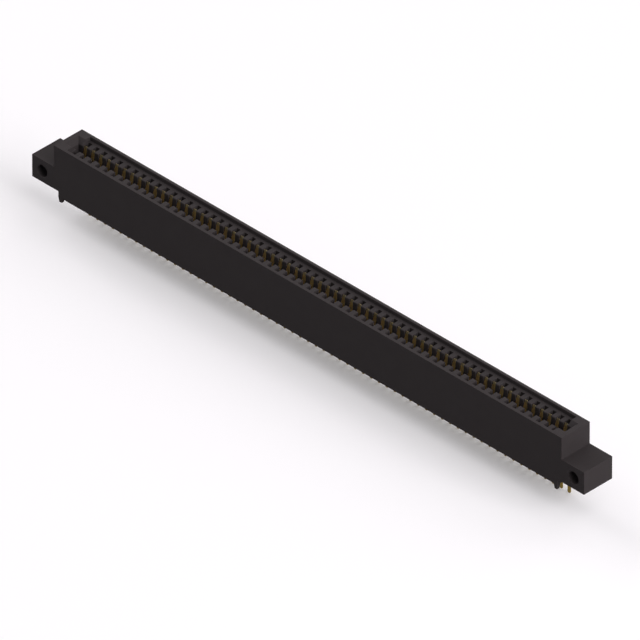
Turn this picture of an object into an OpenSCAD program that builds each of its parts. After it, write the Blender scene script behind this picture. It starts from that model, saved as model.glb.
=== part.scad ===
// Card edge connector with one row of spring contacts and an ear at each end.
// X runs along the card slot, Y through the body with the front at minus Y, Z up.
// The origin lies on the slot's centre plane, midway between the two ear holes.
// Heights are worked out as depths below the top of the nose, then moved there.

/* [Contacts] */
// Number of contacts in the row, always even
positions = 62; // [10:2:62]
// Spacing of the contacts along the slot
pitch = 2.54; // [2.3:0.02:2.8]
// Distance of the tails from the slot's centre plane
row_y = 2.54; // [2.4:0.02:2.7]
// Width of the spring part of a contact
contact_w = 1; // [0.8:0.05:1.05]
// Thickness of the contact strip
contact_t = 0.3; // [0.2:0.02:0.36]
// Width of the shoulder that stops the contact on the cavity floor
shoulder_w = 1.16; // [1.1:0.02:1.18]
// Height of the shoulder
shoulder_h = 0.7; // [0.4:0.1:0.9]
// Width of the tail
tail_w = 0.94; // [0.6:0.02:1]
// Length of the tail below the body
tail_len = 7.2; // [2.5:0.1:12]
// Distance of the spring's crest from the slot's centre plane, contact at rest
crest_y = 0.45; // [0.3:0.05:0.7]
// Depth of the spring's crest below the top of the nose
crest_depth = 4.6; // [4:0.1:5.2]
// Distance of the free tip of the spring from the slot's centre plane
tip_y = 1.6; // [1.4:0.05:1.8]

/* [Body] */
// Width of the body from front to rear
body_w = 9.14; // [8.8:0.02:10]
// Height of the body without its feet
body_h = 13.75; // [12.6:0.05:16]
// Length of the nose beyond the last contact at each end
nose_end = 4.445; // [4:0.05:6]
// Depth of the trough round the contact cavities
trough_depth = 1; // [0.5:0.1:1.1]
// Thickness of the rim round the trough at front and rear
rim_t = 0.8; // [0.5:0.05:1]
// Height of the lower body, which is shorter than the nose
base_h = 1.55; // [0.8:0.05:1.8]
// Inset of the lower body from each end of the nose
base_inset = 1.37; // [0.8:0.05:1.8]
// Width of the square feet where they meet the body
foot_w = 1.1; // [0.8:0.05:1.3]
// Height of the feet
foot_h = 1.4; // [0.8:0.1:2]

/* [Card slot] */
// Width of the card slot
slot_w = 2.06; // [1.8:0.02:2.2]
// Depth of the card slot and of the contact cavities
slot_depth = 8.6; // [8:0.1:9.5]
// Length of the card slot beyond the last contact at each end
slot_end = 2; // [1.7:0.05:2.3]
// Size of the slanted lead-in round the top of the slot
lead_in = 1.17; // [0.6:0.05:1.3]

/* [Cavities] */
// Width of a contact cavity
cavity_w = 1.24; // [1.2:0.02:1.5]
// Distance of the cavities' outer wall from the slot's centre plane
cavity_reach = 2.95; // [2.88:0.01:3.1]
// Play beside the tail in its hole
tail_play = 0.05; // [0.02:0.01:0.08]

/* [Ears] */
// Length of each ear
ear_len = 7.185; // [6.6:0.05:9]
// Height of each ear
ear_h = 6.2; // [5.6:0.1:7]
// Depth of the ears' top below the top of the nose
ear_drop = 6; // [5:0.1:6.4]
// Diameter of the hole through each ear
hole_d = 3.25; // [2.4:0.05:3.6]
// Distance of the hole's centre beyond the end of the nose
hole_out = 3.81; // [3.4:0.05:4.2]

/* [Hidden] */
// Overshoot of a cutter past the face that it opens
cut = 0.5;
// Steps in each bend of a contact
bend_steps = 5;
// Bend radii of the middle line at the crest and above the shoulder
crest_r = 0.9;
heel_r = 1.2;
// Height of the straight stretch between the heel and the shoulder
heel_rise = 0.25;
// Slope at the end of each tail
tail_tip = 0.25;
// Length of the trough beyond the outermost cavities
trough_end = 0.3;
// Slope on each side of a foot, from the body to its end
foot_slope = 0.15;

row_len = (positions - 1) * pitch;
nose_len = row_len + 2 * nose_end;
full_len = nose_len + 2 * ear_len;
base_len = nose_len - 2 * base_inset;
slot_len = row_len + 2 * slot_end;
trough_len = row_len + cavity_w + 2 * trough_end;
nose_h = body_h - base_h;
tail_hole_w = tail_w + 2 * tail_play;
tip_depth = trough_depth + 0.1;
heel_depth = slot_depth - shoulder_h - heel_rise;
hole_depth = ear_drop + ear_h / 2;
hole_x = nose_len / 2 + hole_out;
foot_x = (base_len - foot_w) / 2;
foot_y = (body_w - foot_w) / 2;

// One node for the housing and one for each pair of neighbouring contacts.
pair_count = positions / 2;
function pair_name(i) = str("contact_pair_", i < 10 ? "0" : "", i);

// Place of contact number i, counted from the left, along the slot.
function contact_x(i) = (i - (positions + 1) / 2) * pitch;

// Helpers for a strip of even thickness along a line with rounded bends.
function unit(v) = v / norm(v);
function left_of(v) = [-v[1], v[0]];
function turned(v, a) = [v[0] * cos(a) - v[1] * sin(a), v[0] * sin(a) + v[1] * cos(a)];

// Points of one bend at p between the directions a and b, moved sideways by d.
function bend(p, a, b, r, d) =
    let (
        s = a[0] * b[1] - a[1] * b[0] > 0 ? 1 : -1,
        angle = acos(a * b),
        centre = p - a * r * tan(angle / 2) + s * r * left_of(a)
    )
    [for (i = [0 : bend_steps]) centre - s * (r - s * d) * turned(left_of(a), s * angle * i / bend_steps)];

// One side of the strip, at the distance d to the left of its middle line.
function strip_side(path, radii, d) =
    let (n = len(path), dirs = [for (i = [0 : n - 2]) unit(path[i + 1] - path[i])])
    concat(
        [path[0] + d * left_of(dirs[0])],
        [for (i = [1 : n - 2]) for (q = bend(path[i], dirs[i - 1], dirs[i], radii[i - 1], d)) q],
        [path[n - 1] + d * left_of(dirs[n - 2])]
    );

function reversed(list) = [for (i = [len(list) - 1 : -1 : 0]) list[i]];

// Outline of the spring in the Y-Z plane, from its free tip down to the shoulder.
function spring_outline() =
    let (
        path = [
            [tip_y, -tip_depth],
            [crest_y + contact_t / 2, -crest_depth],
            [row_y, -heel_depth],
            [row_y, -slot_depth]
        ],
        radii = [crest_r, heel_r]
    )
    concat(strip_side(path, radii, contact_t / 2), reversed(strip_side(path, radii, -contact_t / 2)));

// A flat outline in the Y-Z plane made solid along X, centred on x = 0.
module along_x(width) {
    rotate([90, 0, 90])
        linear_extrude(width, center = true)
            children();
}

// Shoulder and tail, seen from the front, with both edges of the tip sloped.
module tail_outline() {
    tail_end = body_h + tail_len;
    polygon([
        [-shoulder_w / 2, -slot_depth],
        [-shoulder_w / 2, -slot_depth + shoulder_h],
        [shoulder_w / 2, -slot_depth + shoulder_h],
        [shoulder_w / 2, -slot_depth],
        [tail_w / 2, -slot_depth],
        [tail_w / 2, -tail_end + tail_tip],
        [tail_w / 2 - tail_tip, -tail_end],
        [-tail_w / 2 + tail_tip, -tail_end],
        [-tail_w / 2, -tail_end + tail_tip],
        [-tail_w / 2, -slot_depth]
    ]);
}

module contact() {
    along_x(contact_w)
        polygon(spring_outline());
    translate([0, row_y, 0])
        rotate([90, 0, 0])
            linear_extrude(contact_t, center = true)
                tail_outline();
}

module contact_pair(i) {
    color("goldenrod")
        for (k = [2 * i - 1, 2 * i])
            translate([contact_x(k), 0, hole_depth])
                contact();
}

// A block centred in X and Y whose top lies at the depth given.
module block(size, depth) {
    translate([-size[0] / 2, -size[1] / 2, -depth - size[2]])
        cube(size);
}

// A square foot that narrows to its end, standing in the body's corner.
module foot() {
    intersection() {
        along_x(foot_w)
            foot_outline();
        rotate([0, 0, 90])
            along_x(foot_w)
                foot_outline();
    }
}

// The foot from one side, reaching up into the lower body.
module foot_outline() {
    foot_end = body_h + foot_h;
    polygon([
        [-foot_w / 2, -body_h + base_h / 2],
        [-foot_w / 2, -body_h],
        [-foot_w / 2 + foot_slope, -foot_end],
        [foot_w / 2 - foot_slope, -foot_end],
        [foot_w / 2, -body_h],
        [foot_w / 2, -body_h + base_h / 2]
    ]);
}

// The lead-in: a sunk frame that slopes inward on all four sides.
module lead_in_cut() {
    intersection() {
        along_x(slot_len + 4 * lead_in)
            slope_outline(slot_w);
        rotate([90, 0, 0])
            linear_extrude(2 * body_w, center = true)
                slope_outline(slot_len);
    }
}

// A trapezium that widens from the given width to the lead-in's mouth at the top.
module slope_outline(width) {
    mouth = width / 2 + lead_in;
    polygon([
        [-width / 2, -lead_in],
        [width / 2, -lead_in],
        [mouth, 0],
        [mouth, cut],
        [-mouth, cut],
        [-mouth, 0]
    ]);
}

// The open space of one position: both facing cavities and both tail holes.
module position_cut() {
    block([cavity_w, 2 * cavity_reach, slot_depth - trough_depth + cut], trough_depth - cut);
    for (y = [-row_y, row_y])
        translate([0, y, 0])
            block([tail_hole_w, contact_t, body_h - slot_depth + 2 * cut], slot_depth - cut);
}

// Nose, ears, lower body and feet before anything is cut away.
module solid_body() {
    block([nose_len, body_w, nose_h], 0);
    block([full_len, body_w, ear_h], ear_drop);
    block([base_len, body_w, base_h], nose_h);
    for (x = [-foot_x, foot_x], y = [-foot_y, foot_y])
        translate([x, y, 0])
            foot();
}

// The hole through an ear, from front to rear.
module ear_hole() {
    translate([0, 0, -hole_depth])
        rotate([90, 0, 0])
            cylinder(h = body_w + 2 * cut, d = hole_d, center = true, $fn = 64);
}

module housing() {
    color([0.15, 0.15, 0.16])
        translate([0, 0, hole_depth])
            difference() {
                solid_body();
                block([trough_len, body_w - 2 * rim_t, trough_depth + cut], -cut);
                block([slot_len, slot_w, slot_depth], 0);
                lead_in_cut();
                for (i = [1 : positions])
                    translate([contact_x(i), 0, 0])
                        position_cut();
                for (x = [-hole_x, hole_x])
                    translate([x, 0, 0])
                        ear_hole();
            }
}

housing();
for (i = [1 : pair_count])
    contact_pair(i);
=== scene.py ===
"""A card edge connector dressed for its portrait.

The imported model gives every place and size. This script gives the moulded housing its rounded
edges and matte black plastic, forms the gold plated contacts out of flat strip, and sets up the
pale studio and the camera.
"""

import logging
import math
from abc import ABC, abstractmethod
from dataclasses import dataclass, field
from enum import Enum
from typing import Any

import bmesh
import bpy
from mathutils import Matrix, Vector


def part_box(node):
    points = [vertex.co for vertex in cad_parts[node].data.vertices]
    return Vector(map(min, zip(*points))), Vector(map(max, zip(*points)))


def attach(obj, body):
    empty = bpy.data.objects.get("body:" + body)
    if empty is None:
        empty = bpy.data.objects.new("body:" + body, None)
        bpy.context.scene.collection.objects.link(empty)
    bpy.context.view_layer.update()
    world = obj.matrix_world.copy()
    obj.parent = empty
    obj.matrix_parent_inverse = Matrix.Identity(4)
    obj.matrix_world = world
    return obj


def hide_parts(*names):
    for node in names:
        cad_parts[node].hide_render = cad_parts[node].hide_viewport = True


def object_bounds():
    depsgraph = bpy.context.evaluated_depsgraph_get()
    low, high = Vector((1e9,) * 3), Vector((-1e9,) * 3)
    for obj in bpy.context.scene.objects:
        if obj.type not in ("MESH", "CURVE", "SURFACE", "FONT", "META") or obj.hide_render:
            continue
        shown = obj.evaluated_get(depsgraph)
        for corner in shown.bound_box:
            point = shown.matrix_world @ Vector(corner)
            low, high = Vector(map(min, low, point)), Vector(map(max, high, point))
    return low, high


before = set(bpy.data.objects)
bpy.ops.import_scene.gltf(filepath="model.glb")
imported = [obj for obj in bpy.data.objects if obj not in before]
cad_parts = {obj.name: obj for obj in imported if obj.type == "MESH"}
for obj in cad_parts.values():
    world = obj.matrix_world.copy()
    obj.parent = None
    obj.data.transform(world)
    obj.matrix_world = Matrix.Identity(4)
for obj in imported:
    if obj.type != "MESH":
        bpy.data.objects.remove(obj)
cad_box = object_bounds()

LOG = logging.getLogger("card_edge_connector")
BODY = "root"
HOUSING_NODE = "housing"
CONTACT_NODE = "contact_pair"
MM = 0.001

Triple = tuple[float, float, float]
Colour = Triple
Span = tuple[float, float]
Socket = bpy.types.NodeSocket


class Slot(Enum):
    """The record's material slots."""

    HOUSING = "housing_plastic"
    CONTACT = "contact_metal"


class Wiring:
    """Adds nodes to a node tree and joins them."""

    def __init__(self, tree: bpy.types.NodeTree) -> None:
        """Starts with an empty tree.

        Args:
            tree: The node tree to fill. What it holds is removed.
        """
        tree.nodes.clear()
        self.tree = tree

    def add(
        self, kind: str, inputs: dict[str | int, Any] | None = None, **settings: Any
    ) -> bpy.types.Node:
        """Adds one node.

        Args:
            kind: The node's type name.
            inputs: Input socket name or number to a value, or to the socket that feeds it.
            settings: Properties of the node itself.

        Returns:
            The new node.
        """
        node = self.tree.nodes.new(kind)
        for name, value in settings.items():
            setattr(node, name, value)
        for key, value in (inputs or {}).items():
            if isinstance(value, Socket):
                self.tree.links.new(value, node.inputs[key])
            else:
                node.inputs[key].default_value = value
        return node

    def noise(self, place: Socket, scale: float, detail: float) -> Socket:
        """Adds a cloudy pattern.

        Args:
            place: Where on the object the pattern is read.
            scale: How fine the pattern is.
            detail: How many finer layers lie over it.

        Returns:
            The pattern, from 0 to 1.
        """
        node = self.add("ShaderNodeTexNoise", {"Vector": place, "Scale": scale, "Detail": detail})
        return node.outputs["Fac"]

    def mix(self, share: Socket, first: Colour | Socket, second: Colour | Socket) -> Socket:
        """Mixes two colours.

        Args:
            share: How much of the second colour there is, from 0 to 1.
            first: The first colour, or the socket that gives it.
            second: The second colour, or the socket that gives it.

        Returns:
            The mixed colour.
        """
        ends = {
            key: (*end, 1.0) if isinstance(end, tuple) else end
            for key, end in (("A", first), ("B", second))
        }
        node = self.add("ShaderNodeMix", {"Factor": share, **ends}, data_type="RGBA")
        return node.outputs["Result"]

    def ramp(self, value: Socket, taken: Span = (0.0, 1.0), given: Span = (0.0, 1.0)) -> Socket:
        """Turns one range of a value evenly into another, and holds the result at its ends.

        Args:
            value: The value to turn.
            taken: The value's own range.
            given: The range that it becomes.

        Returns:
            The new value.
        """
        node = self.add("ShaderNodeMapRange", {
            "Value": value,
            "From Min": taken[0], "From Max": taken[1],
            "To Min": given[0], "To Max": given[1],
        })
        return node.outputs["Result"]

    def seen_ray(self) -> Socket:
        """Tells the rays that show a background from those that only light the object.

        Returns:
            1 for camera, glossy and transmission rays and 0 for the others.
        """
        path = self.add("ShaderNodeLightPath").outputs
        shown = path["Is Camera Ray"]
        for kind in ("Is Glossy Ray", "Is Transmission Ray"):
            either = self.add("ShaderNodeMath", {0: shown, 1: path[kind]}, operation="MAXIMUM")
            shown = either.outputs[0]
        return shown


@dataclass(frozen=True)
class Finish(ABC):
    """A finish with a fine pattern that changes its roughness and raises its surface."""

    name: str
    roughness: Span
    relief_height: float
    relief_strength: float
    metallic: float = 0.0
    specular_level: float = 0.5

    @abstractmethod
    def pattern(self, wiring: Wiring, place: Socket) -> Socket:
        """Adds the fine pattern.

        Args:
            wiring: The material's tree.
            place: The place on the object.

        Returns:
            The pattern, from 0 to 1.
        """

    @abstractmethod
    def tint(self, wiring: Wiring, place: Socket, pattern: Socket) -> Socket:
        """Adds the colour.

        Args:
            wiring: The material's tree.
            place: The place on the object.
            pattern: The fine pattern.

        Returns:
            The colour.
        """

    def material(self) -> bpy.types.Material:
        """Builds the material.

        Returns:
            The finished material.
        """
        material = bpy.data.materials.new(self.name)
        material.use_nodes = True
        wiring = Wiring(material.node_tree)
        place = wiring.add("ShaderNodeTexCoord").outputs["Object"]
        pattern = self.pattern(wiring, place)
        relief = wiring.add("ShaderNodeBump", {
            "Height": pattern, "Distance": self.relief_height, "Strength": self.relief_strength,
        })
        shader = wiring.add("ShaderNodeBsdfPrincipled", {
            "Base Color": self.tint(wiring, place, pattern),
            "Metallic": self.metallic,
            "Roughness": wiring.ramp(pattern, given=self.roughness),
            "Specular IOR Level": self.specular_level,
            "Normal": relief.outputs["Normal"],
        })
        wiring.add("ShaderNodeOutputMaterial", {"Surface": shader.outputs["BSDF"]})
        return material


@dataclass(frozen=True)
class MouldedPlastic(Finish):
    """Matte black plastic with a fine moulded grain and faint clouds of colour."""

    name: str = "moulded_plastic"
    roughness: Span = (0.50, 0.62)
    relief_height: float = 0.006 * MM
    relief_strength: float = 0.35
    specular_level: float = 0.05
    dark: Colour = (0.0372, 0.0312, 0.0325)
    light: Colour = (0.0428, 0.0362, 0.0376)
    cloud_scale: float = 260.0
    cloud_detail: float = 3.0
    grain_scale: float = 5200.0
    grain_detail: float = 4.0

    def pattern(self, wiring: Wiring, place: Socket) -> Socket:
        """Adds the moulded grain. See Finish.pattern."""
        return wiring.noise(place, self.grain_scale, self.grain_detail)

    def tint(self, wiring: Wiring, place: Socket, pattern: Socket) -> Socket:
        """Adds the clouded black, which doesn't follow the grain. See Finish.tint."""
        clouds = wiring.noise(place, self.cloud_scale, self.cloud_detail)
        return wiring.mix(clouds, self.dark, self.light)


@dataclass(frozen=True)
class GoldPlate(Finish):
    """Gold plating over rolled strip, duller on the tails, with painted shade that darkens the
    tails and tones down the free tips' highlight.
    """

    name: str = "gold_plate"
    roughness: Span = (0.30, 0.42)
    relief_height: float = 0.002 * MM
    relief_strength: float = 0.30
    metallic: float = 1.0
    deep: Colour = (0.66, 0.42, 0.13)
    bright: Colour = (0.88, 0.62, 0.26)
    # Painted shade: the tails' gold is darkened for the shadow under the body that they stand in
    # and reflect, over plating that is also duller.
    shaded_tail_deep: Colour = (0.20, 0.14, 0.03)
    shaded_tail_bright: Colour = (0.30, 0.21, 0.05)
    # Painted shade: the tip colour is a paler, darker gold that tones down the highlight on the
    # free tips.
    tip: Colour = (0.54, 0.43, 0.24)
    tail_shade_range: Span = (-3.0 * MM, -4.5 * MM)
    shaded_tip_range: Span = (7.2 * MM, 7.75 * MM)
    line_scale: Triple = (9000.0, 9000.0, 300.0)
    line_detail: float = 2.0

    def pattern(self, wiring: Wiring, place: Socket) -> Socket:
        """Adds the rolling lines, drawn out along the strip. See Finish.pattern."""
        drawn = wiring.add("ShaderNodeMapping", {"Vector": place, "Scale": self.line_scale})
        return wiring.noise(drawn.outputs["Vector"], 1.0, self.line_detail)

    def tint(self, wiring: Wiring, place: Socket, pattern: Socket) -> Socket:
        """Adds the gold, with painted shade that darkens it down the tail and tones down its
        highlight up the tip. See Finish.tint.
        """
        height = wiring.add("ShaderNodeSeparateXYZ", {"Vector": place}).outputs["Z"]
        # Painted shade darkens the gold down the tails and tones it down on the tips.
        in_tail_shade = wiring.ramp(height, taken=self.tail_shade_range)
        on_shaded_tip = wiring.ramp(height, taken=self.shaded_tip_range)
        deep = wiring.mix(in_tail_shade, self.deep, self.shaded_tail_deep)
        bright = wiring.mix(in_tail_shade, self.bright, self.shaded_tail_bright)
        return wiring.mix(on_shaded_tip, wiring.mix(pattern, deep, bright), self.tip)


@dataclass(frozen=True)
class StudioFloor:
    """Pale floor that shows white to the camera and in reflections, and keeps soft shadows."""

    name: str = "studio_floor"
    seen: Colour = (0.83, 0.80, 0.83)
    lift: float = 0.20
    bounce: Colour = (0.12, 0.12, 0.12)

    def material(self) -> bpy.types.Material:
        """Builds the material.

        Returns:
            The finished material.
        """
        material = bpy.data.materials.new(self.name)
        material.use_nodes = True
        wiring = Wiring(material.node_tree)
        plain = wiring.add("ShaderNodeBsdfDiffuse", {"Color": (*self.bounce, 1.0)})
        pale = wiring.add("ShaderNodeBsdfDiffuse", {"Color": (*self.seen, 1.0)})
        glow = wiring.add("ShaderNodeEmission", {"Strength": self.lift})
        lifted = wiring.add("ShaderNodeAddShader", {
            0: pale.outputs["BSDF"], 1: glow.outputs["Emission"],
        })
        mixed = wiring.add("ShaderNodeMixShader", {
            0: wiring.seen_ray(), 1: plain.outputs["BSDF"], 2: lifted.outputs["Shader"],
        })
        wiring.add("ShaderNodeOutputMaterial", {"Surface": mixed.outputs["Shader"]})
        return material


def plain_mesh(piece: bpy.types.Object) -> None:
    """Turns a piece with modifiers into the plain mesh that they make.

    Args:
        piece: The piece, which keeps its name and loses its modifiers.
    """
    bpy.context.view_layer.update()
    evaluated = piece.evaluated_get(bpy.context.evaluated_depsgraph_get())
    mesh = bpy.data.meshes.new_from_object(evaluated)
    piece.modifiers.clear()
    piece.data = mesh


def new_piece(name: str, mesh: bpy.types.Mesh) -> bpy.types.Object:
    """Adds an object at the origin to the scene.

    Args:
        name: The object's name.
        mesh: Its mesh.

    Returns:
        The new object.
    """
    piece = bpy.data.objects.new(name, mesh)
    bpy.context.scene.collection.objects.link(piece)
    return piece


def report(piece: bpy.types.Object) -> None:
    """Logs a piece's name and the number of its triangles."""
    count = sum(len(face.vertices) - 2 for face in piece.data.polygons)
    LOG.info("%s: %d triangles", piece.name, count)


@dataclass
class Housing:
    """The moulded housing, with the small radius that a mould leaves on every edge."""

    node: str = HOUSING_NODE
    name: str = "moulded_housing"
    edge_radius: float = 0.10 * MM
    edge_steps: int = 2
    sharp_angle: float = math.radians(30.0)
    flat_angle: float = math.radians(0.5)
    level_share: float = 0.99
    weld: float = 0.001 * MM

    def joined_solid(self) -> bpy.types.Mesh:
        """Copies the housing's solid and joins its loose triangles into whole faces.

        The level faces, which the cavities and tail holes pierce, are split into convex ones. A
        bevelled face with all those notches in it would close some of them.

        Returns:
            The closed mesh, its edges not yet rounded.
        """
        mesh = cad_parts[self.node].data.copy()
        shell = bmesh.new()
        shell.from_mesh(mesh)
        bmesh.ops.remove_doubles(shell, verts=shell.verts, dist=self.weld)
        bmesh.ops.dissolve_limit(
            shell, angle_limit=self.flat_angle, verts=shell.verts, edges=shell.edges, delimit=set(),
        )
        level_faces = [face for face in shell.faces if abs(face.normal.z) > self.level_share]
        bmesh.ops.connect_verts_concave(shell, faces=level_faces)
        for face in shell.faces:
            face.smooth = True
        shell.to_mesh(mesh)
        shell.free()
        return mesh

    def build(self) -> bpy.types.Object:
        """Rounds the joined solid's edges and keeps the result inside the solid's box.

        Returns:
            The new piece.
        """
        piece = new_piece(self.name, self.joined_solid())
        edge = piece.modifiers.new("edge", "BEVEL")
        edge.width = self.edge_radius
        edge.segments = self.edge_steps
        edge.limit_method = "ANGLE"
        edge.angle_limit = self.sharp_angle
        edge.miter_outer = "MITER_ARC"
        normals = piece.modifiers.new("normals", "WEIGHTED_NORMAL")
        normals.mode = "FACE_AREA"
        plain_mesh(piece)
        low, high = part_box(self.node)
        for vertex in piece.data.vertices:
            vertex.co = [
                min(max(value, least), most) for value, least, most in zip(vertex.co, low, high)
            ]
        return piece

    def dress(self, piece: bpy.types.Object, finish: bpy.types.Material) -> None:
        """Gives the piece its finish and ties it to the solid that it stands for.

        Args:
            piece: The piece made by build.
            finish: Its material.
        """
        piece.data.materials.clear()
        piece.data.materials.append(finish)
        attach(piece, BODY)
        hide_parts(self.node)


def contact_nodes() -> list[str]:
    """Lists the contacts' nodes, from the left end of the row to the right."""
    return sorted(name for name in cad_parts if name.startswith(CONTACT_NODE))


@dataclass
class ContactRow:
    """The stamped and formed contacts, two to a node.

    A flat blank of the contact is bent along the line that its middle follows, and repeated at the
    spacing of the row. Heights come from the housing's box and the tails' ends from the contacts'.
    """

    pitch: float = 2.54 * MM
    per_node: int = 2
    strip_thickness: float = 0.30 * MM
    spring_width: float = 1.00 * MM
    shoulder_width: float = 1.16 * MM
    shoulder_height: float = 0.70 * MM
    tail_width: float = 0.94 * MM
    tail_slope: float = 0.25 * MM
    tip_corner: float = 0.18 * MM
    tip_corner_share: float = 0.3
    tip_thickness: float = 0.06 * MM
    tip_taper: float = 0.70 * MM
    coined_edge: float = 0.05 * MM
    coins_to_strip: int = 3
    row_y: float = 2.54 * MM
    crest_y: float = 0.45 * MM
    tip_y: float = 1.60 * MM
    tip_depth: float = 1.10 * MM
    crest_depth: float = 4.60 * MM
    slot_depth: float = 8.60 * MM
    heel_rise: float = 0.25 * MM
    crest_radius: float = 0.90 * MM
    heel_radius: float = 1.20 * MM
    blank_bend_steps: int = 8
    line_bend_steps: int = 16
    radius_name: str = "bend_radius"
    sharp_angle: float = math.radians(35.0)
    nodes: list[str] = field(default_factory=contact_nodes)

    def path_points(self) -> list[Vector]:
        """Gives the corners of the strip's middle line.

        Returns:
            Points from the free tip, over the crest and the heel, down to the tail's end.
        """
        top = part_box(HOUSING_NODE)[1].z
        tail_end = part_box(self.nodes[0])[0].z
        heel_depth = self.slot_depth - self.shoulder_height - self.heel_rise
        return [
            Vector((0.0, self.tip_y, top - self.tip_depth)),
            Vector((0.0, self.crest_y + self.strip_thickness / 2, top - self.crest_depth)),
            Vector((0.0, self.row_y, top - heel_depth)),
            Vector((0.0, self.row_y, tail_end)),
        ]

    def stations(self) -> tuple[list[float], float]:
        """Works out where along the strip the blank needs a cross line for its bends.

        Returns:
            The places of the bends' cross lines, and the strip's whole length.
        """
        points = self.path_points()
        runs = [b - a for a, b in zip(points, points[1:])]
        angles = [a.angle(b) for a, b in zip(runs, runs[1:])]
        radii = [self.crest_radius, self.heel_radius]
        trims = [r * math.tan(a / 2) for r, a in zip(radii, angles)]
        last = self.blank_bend_steps
        cross_lines: list[float] = []
        reached = 0.0
        for run, before, after, radius, angle in zip(runs, [0.0, *trims], trims, radii, angles):
            reached += run.length - before - after
            steps = [reached + radius * angle * k / last for k in range(last + 1)]
            cross_lines.extend(steps)
            reached = steps[-1]
        return cross_lines, reached + runs[-1].length - trims[-1]

    def sections(self) -> list[tuple[float, float]]:
        """Lists the blank's cross lines.

        The tip's corners are cut in two straight steps, which meet at tip_corner_share of the
        corner.

        Returns:
            Pairs of a place along the strip and half the strip's width there, in order.
        """
        bends, length = self.stations()
        points = self.path_points()
        floor = length - (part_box(HOUSING_NODE)[1].z - self.slot_depth - points[-1].z)
        shoulder_top = floor - self.shoulder_height
        spring, shoulder, tail = self.spring_width / 2, self.shoulder_width / 2, self.tail_width / 2
        corner = self.tip_corner
        part = corner * self.tip_corner_share
        between = [place for place in (self.tip_taper, *bends) if corner < place < shoulder_top]
        return [
            (0.0, spring - corner),
            (part, spring - part),
            (corner, spring),
            *((place, spring) for place in between),
            (shoulder_top, spring),
            (shoulder_top, shoulder),
            (floor, shoulder),
            (floor, tail),
            (length - self.tail_slope, tail),
            (length, tail - self.tail_slope),
        ]

    def blank(self) -> bpy.types.Mesh:
        """Builds the flat blank: X across the strip, Y through it and Z along it.

        Where the tip is thin, so are its coined edges: coins_to_strip of them make its thickness.

        Returns:
            A closed mesh with coined long edges and a tip that thins from behind.
        """
        face = self.strip_thickness / 2
        shell = bmesh.new()
        rings = []
        for place, wide in self.sections():
            taper = max(0.0, 1.0 - place / self.tip_taper)
            back = -face + taper * (self.strip_thickness - self.tip_thickness)
            coin = min(self.coined_edge, (face - back) / self.coins_to_strip)
            outline = [
                (-wide, back + coin), (-wide + coin, back),
                (wide - coin, back), (wide, back + coin),
                (wide, face - coin), (wide - coin, face),
                (-wide + coin, face), (-wide, face - coin),
            ]
            rings.append([shell.verts.new((x, y, place)) for x, y in outline])
        for low, high in zip(rings, rings[1:]):
            for k in range(len(low)):
                following = (k + 1) % len(low)
                shell.faces.new((low[k], low[following], high[following], high[k]))
        shell.faces.new(list(reversed(rings[0])))
        shell.faces.new(rings[-1])
        bmesh.ops.recalc_face_normals(shell, faces=shell.faces)
        mesh = bpy.data.meshes.new("contact_blank")
        shell.to_mesh(mesh)
        shell.free()
        return mesh

    def path_object(self) -> bpy.types.Object:
        """Makes the line that the blank is bent along, with each corner's radius on its points.

        Returns:
            An object that holds only points and edges.
        """
        points = [tuple(point) for point in self.path_points()]
        edges = [(k, k + 1) for k in range(len(points) - 1)]
        mesh = bpy.data.meshes.new("forming_line")
        mesh.from_pydata(points, edges, [])
        radius = mesh.attributes.new(self.radius_name, "FLOAT", "POINT")
        radius.data.foreach_set("value", [0.0, self.crest_radius, self.heel_radius, 0.0])
        return new_piece("forming_line", mesh)

    def bent(self, wiring: Wiring, blank: Socket, forming_line: Socket) -> Socket:
        """Adds the nodes that bend the blank along the forming line.

        Args:
            wiring: The forming tree.
            blank: The flat blank.
            forming_line: The object with the line's points and radii.

        Returns:
            The formed contact.
        """
        line = wiring.add("GeometryNodeObjectInfo", {"Object": forming_line})
        curve = wiring.add("GeometryNodeMeshToCurve", {"Mesh": line.outputs["Geometry"]})
        radius = wiring.add(
            "GeometryNodeInputNamedAttribute", {"Name": self.radius_name}, data_type="FLOAT",
        )
        rounded = wiring.add("GeometryNodeFilletCurve", {
            "Curve": curve.outputs["Curve"],
            "Count": self.line_bend_steps,
            "Radius": radius.outputs["Attribute"],
        }, mode="POLY")
        place = wiring.add("GeometryNodeInputPosition")
        flat = wiring.add("ShaderNodeSeparateXYZ", {"Vector": place.outputs["Position"]})
        on_line = wiring.add("GeometryNodeSampleCurve", {
            "Curves": rounded.outputs["Curve"], "Length": flat.outputs["Z"],
        }, mode="LENGTH")
        across = wiring.add("ShaderNodeCombineXYZ", {"X": flat.outputs["X"]})
        normal = wiring.add("ShaderNodeVectorMath", {
            0: on_line.outputs["Tangent"], 1: (1.0, 0.0, 0.0),
        }, operation="CROSS_PRODUCT")
        through = wiring.add("ShaderNodeVectorMath", {
            0: normal.outputs["Vector"], "Scale": flat.outputs["Y"],
        }, operation="SCALE")
        raised = wiring.add("ShaderNodeVectorMath", {
            0: on_line.outputs["Position"], 1: through.outputs["Vector"],
        }, operation="ADD")
        formed_place = wiring.add("ShaderNodeVectorMath", {
            0: raised.outputs["Vector"], 1: across.outputs["Vector"],
        }, operation="ADD")
        formed = wiring.add("GeometryNodeSetPosition", {
            "Geometry": blank, "Position": formed_place.outputs["Vector"],
        })
        return formed.outputs["Geometry"]

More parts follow.
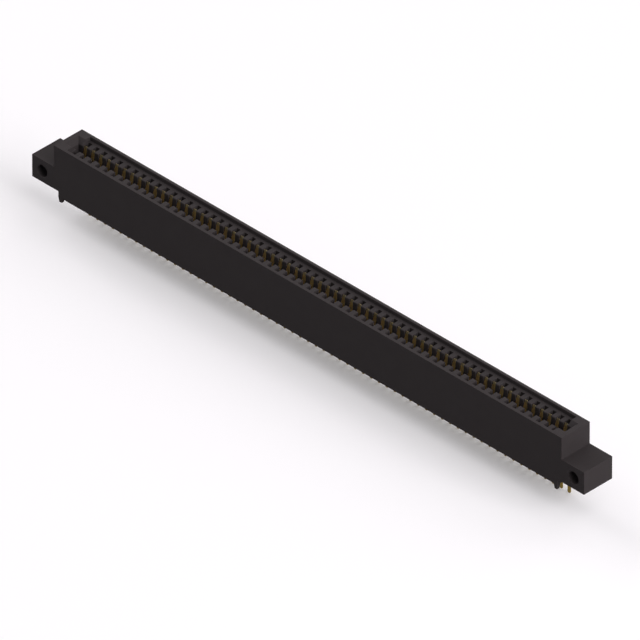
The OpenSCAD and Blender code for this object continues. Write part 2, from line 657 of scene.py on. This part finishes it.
    def repeated(
        self, wiring: Wiring, contact: Socket, count: Socket, pitch: Socket, centre: Socket
    ) -> Socket:
        """Adds the nodes that repeat a contact along X.

        Args:
            wiring: The forming tree.
            contact: The formed contact.
            count: The number of contacts.
            pitch: Their spacing.
            centre: The middle of the row.

        Returns:
            The contacts as real geometry.
        """
        gaps = wiring.add("ShaderNodeMath", {0: count, 1: 1.0}, operation="SUBTRACT")
        spread = wiring.add("ShaderNodeMath", {0: gaps.outputs[0], 1: pitch}, operation="MULTIPLY")
        half = wiring.add("ShaderNodeMath", {0: spread.outputs[0], 1: 0.5}, operation="MULTIPLY")
        first = wiring.add("ShaderNodeMath", {0: centre, 1: half.outputs[0]}, operation="SUBTRACT")
        start = wiring.add("ShaderNodeCombineXYZ", {"X": first.outputs[0]})
        step = wiring.add("ShaderNodeCombineXYZ", {"X": pitch})
        row = wiring.add("GeometryNodeMeshLine", {
            "Count": count,
            "Start Location": start.outputs["Vector"],
            "Offset": step.outputs["Vector"],
        })
        copies = wiring.add("GeometryNodeInstanceOnPoints", {
            "Points": row.outputs["Mesh"], "Instance": contact,
        })
        real = wiring.add("GeometryNodeRealizeInstances", {"Geometry": copies.outputs["Instances"]})
        return real.outputs["Geometry"]

    def forming_tree(self) -> tuple[bpy.types.NodeTree, dict[str, str]]:
        """Builds the node tree that bends a blank along a line and repeats it in a row.

        Returns:
            The tree, and each input's name with the identifier that a modifier needs.
        """
        tree = bpy.data.node_groups.new("formed_contacts", "GeometryNodeTree")
        wiring = Wiring(tree)
        wanted = {
            "Geometry": "NodeSocketGeometry",
            "Forming Line": "NodeSocketObject",
            "Count": "NodeSocketInt",
            "Pitch": "NodeSocketFloat",
            "Centre": "NodeSocketFloat",
            "Finish": "NodeSocketMaterial",
        }
        sockets = {
            name: tree.interface.new_socket(name, in_out="INPUT", socket_type=kind).identifier
            for name, kind in wanted.items()
        }
        tree.interface.new_socket("Geometry", in_out="OUTPUT", socket_type="NodeSocketGeometry")
        given = wiring.add("NodeGroupInput").outputs
        contact = self.bent(wiring, given["Geometry"], given["Forming Line"])
        row = self.repeated(wiring, contact, given["Count"], given["Pitch"], given["Centre"])
        dressed = wiring.add("GeometryNodeSetMaterial", {
            "Geometry": row, "Material": given["Finish"],
        })
        wiring.add("NodeGroupOutput", {"Geometry": dressed.outputs["Geometry"]})
        return tree, sockets

    def build(self, finish: bpy.types.Material) -> list[bpy.types.Object]:
        """Forms the contacts of every node.

        Args:
            finish: The contacts' material, which the tree sets.

        Returns:
            One piece for each node, in the nodes' order.
        """
        tree, sockets = self.forming_tree()
        line = self.path_object()
        blank = self.blank()
        pieces = []
        for node in self.nodes:
            low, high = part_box(node)
            piece = new_piece(node.replace(CONTACT_NODE, "formed_contacts"), blank.copy())
            forming = piece.modifiers.new("forming", "NODES")
            forming.node_group = tree
            forming[sockets["Forming Line"]] = line
            forming[sockets["Count"]] = self.per_node
            forming[sockets["Pitch"]] = self.pitch
            forming[sockets["Centre"]] = (low.x + high.x) / 2
            forming[sockets["Finish"]] = finish
            plain_mesh(piece)
            piece.data.shade_smooth()
            piece.data.set_sharp_from_angle(angle=self.sharp_angle)
            pieces.append(piece)
        bpy.data.objects.remove(line)
        return pieces

    def dress(self, pieces: list[bpy.types.Object]) -> None:
        """Ties each piece to the solids that it stands for.

        Args:
            pieces: The pieces made by build.
        """
        for node, piece in zip(self.nodes, pieces):
            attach(piece, BODY)
            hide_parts(node)


@dataclass(frozen=True)
class SoftLamp:
    """A square studio lamp that looks at the object's middle.

    Its level is the share of a full exposure that it gives a white surface that faces it. A lamp of
    so many watts lights such a surface by watts / (pi * distance) ** 2.
    """

    name: str
    direction: Triple
    size: float
    level: float
    distance: float = 1.6

    def place(self, aim: Vector) -> None:
        """Adds the lamp.

        Args:
            aim: The point that the lamp looks at.
        """
        data = bpy.data.lights.new(self.name, "AREA")
        data.shape = "SQUARE"
        data.size = self.size
        data.energy = self.level * math.pi ** 2 * self.distance ** 2
        lamp = bpy.data.objects.new(self.name, data)
        way = Vector(self.direction).normalized()
        lamp.location = aim + way * self.distance
        lamp.rotation_mode = "QUATERNION"
        lamp.rotation_quaternion = way.to_track_quat("Z", "Y")
        bpy.context.scene.collection.objects.link(lamp)


@dataclass(frozen=True)
class Studio:
    """The floor, the lamps and the world."""

    floor_size: float = 6.0
    ambient: Colour = (0.21, 0.21, 0.21)
    background: Colour = (1.0, 1.0, 1.0)
    lamps: tuple[SoftLamp, ...] = (
        SoftLamp("right_lamp", direction=(1.0, 0.0, 0.42), size=1.2, level=0.84),
        SoftLamp("left_lamp", direction=(-1.0, 0.0, 0.42), size=1.2, level=0.75),
        SoftLamp("high_lamp", direction=(0.7, 0.0, 0.9), size=1.4, level=0.31),
        SoftLamp("rear_lamp", direction=(0.0, 1.0, 0.7), size=1.2, level=0.15),
    )

    def floor(self, level: float, finish: bpy.types.Material) -> None:
        """Adds the floor.

        Args:
            level: The floor's height.
            finish: The floor's material.
        """
        half = self.floor_size / 2
        around = ((-half, -half), (half, -half), (half, half), (-half, half))
        mesh = bpy.data.meshes.new("floor")
        mesh.from_pydata([(x, y, level) for x, y in around], [], [(0, 1, 2, 3)])
        mesh.materials.append(finish)
        piece = new_piece("floor", mesh)

    def world(self) -> None:
        """Sets the even light from all round and the white background."""
        world = bpy.data.worlds.new("studio_world")
        bpy.context.scene.world = world
        world.use_nodes = True
        wiring = Wiring(world.node_tree)
        even, white = (
            wiring.add("ShaderNodeBackground", {"Color": (*colour, 1.0), "Strength": 1.0})
            for colour in (self.ambient, self.background)
        )
        mixed = wiring.add("ShaderNodeMixShader", {
            0: wiring.seen_ray(), 1: even.outputs["Background"], 2: white.outputs["Background"],
        })
        wiring.add("ShaderNodeOutputWorld", {"Surface": mixed.outputs["Shader"]})

    def light(self, aim: Vector) -> None:
        """Adds every lamp.

        Args:
            aim: The point that the lamps look at.
        """
        for lamp in self.lamps:
            lamp.place(aim)


@dataclass(frozen=True)
class Viewpoint:
    """The camera, which looks down one corner of the object as an isometric view does.

    Its lens is so long that its rays are almost parallel.
    """

    azimuth: float = math.radians(45.0)
    elevation: float = math.atan(math.sqrt(0.5))
    lens: float = 1680.0
    sensor: float = 36.0
    frame_width: float = 146.1 * MM
    aim_right: float = -0.02 * MM
    aim_up: float = -1.115 * MM

    def place(self) -> None:
        """Adds the camera and makes it the scene's own."""
        flat = math.cos(self.elevation)
        back = Vector((
            math.sin(self.azimuth) * flat, -math.cos(self.azimuth) * flat, math.sin(self.elevation),
        ))
        right = Vector((math.cos(self.azimuth), math.sin(self.azimuth), 0.0))
        up = back.cross(right)
        data = bpy.data.cameras.new("camera")
        data.type = "PERSP"
        data.lens = self.lens
        data.sensor_width = self.sensor
        camera = bpy.data.objects.new("camera", data)
        distance = self.frame_width * self.lens / self.sensor
        camera.location = right * self.aim_right + up * self.aim_up + back * distance
        camera.rotation_mode = "QUATERNION"
        camera.rotation_quaternion = (-back).to_track_quat("-Z", "Y")
        bpy.context.scene.collection.objects.link(camera)
        bpy.context.scene.camera = camera


def main() -> None:
    """Builds the camera, the object's pieces and the studio in order, and reports each piece."""
    logging.basicConfig(level=logging.INFO, format="%(message)s")
    bpy.context.scene.view_settings.view_transform = "Standard"
    Viewpoint().place()

    housing = Housing()
    shell = housing.build()
    housing.dress(shell, MouldedPlastic().material())
    report(shell)

    row = ContactRow()
    contacts = row.build(GoldPlate().material())
    row.dress(contacts)
    for piece in contacts:
        report(piece)

    low, high = cad_box
    studio = Studio()
    studio.world()
    studio.floor(low.z, StudioFloor().material())
    studio.light((low + high) / 2)


if __name__ == "__main__":
    main()
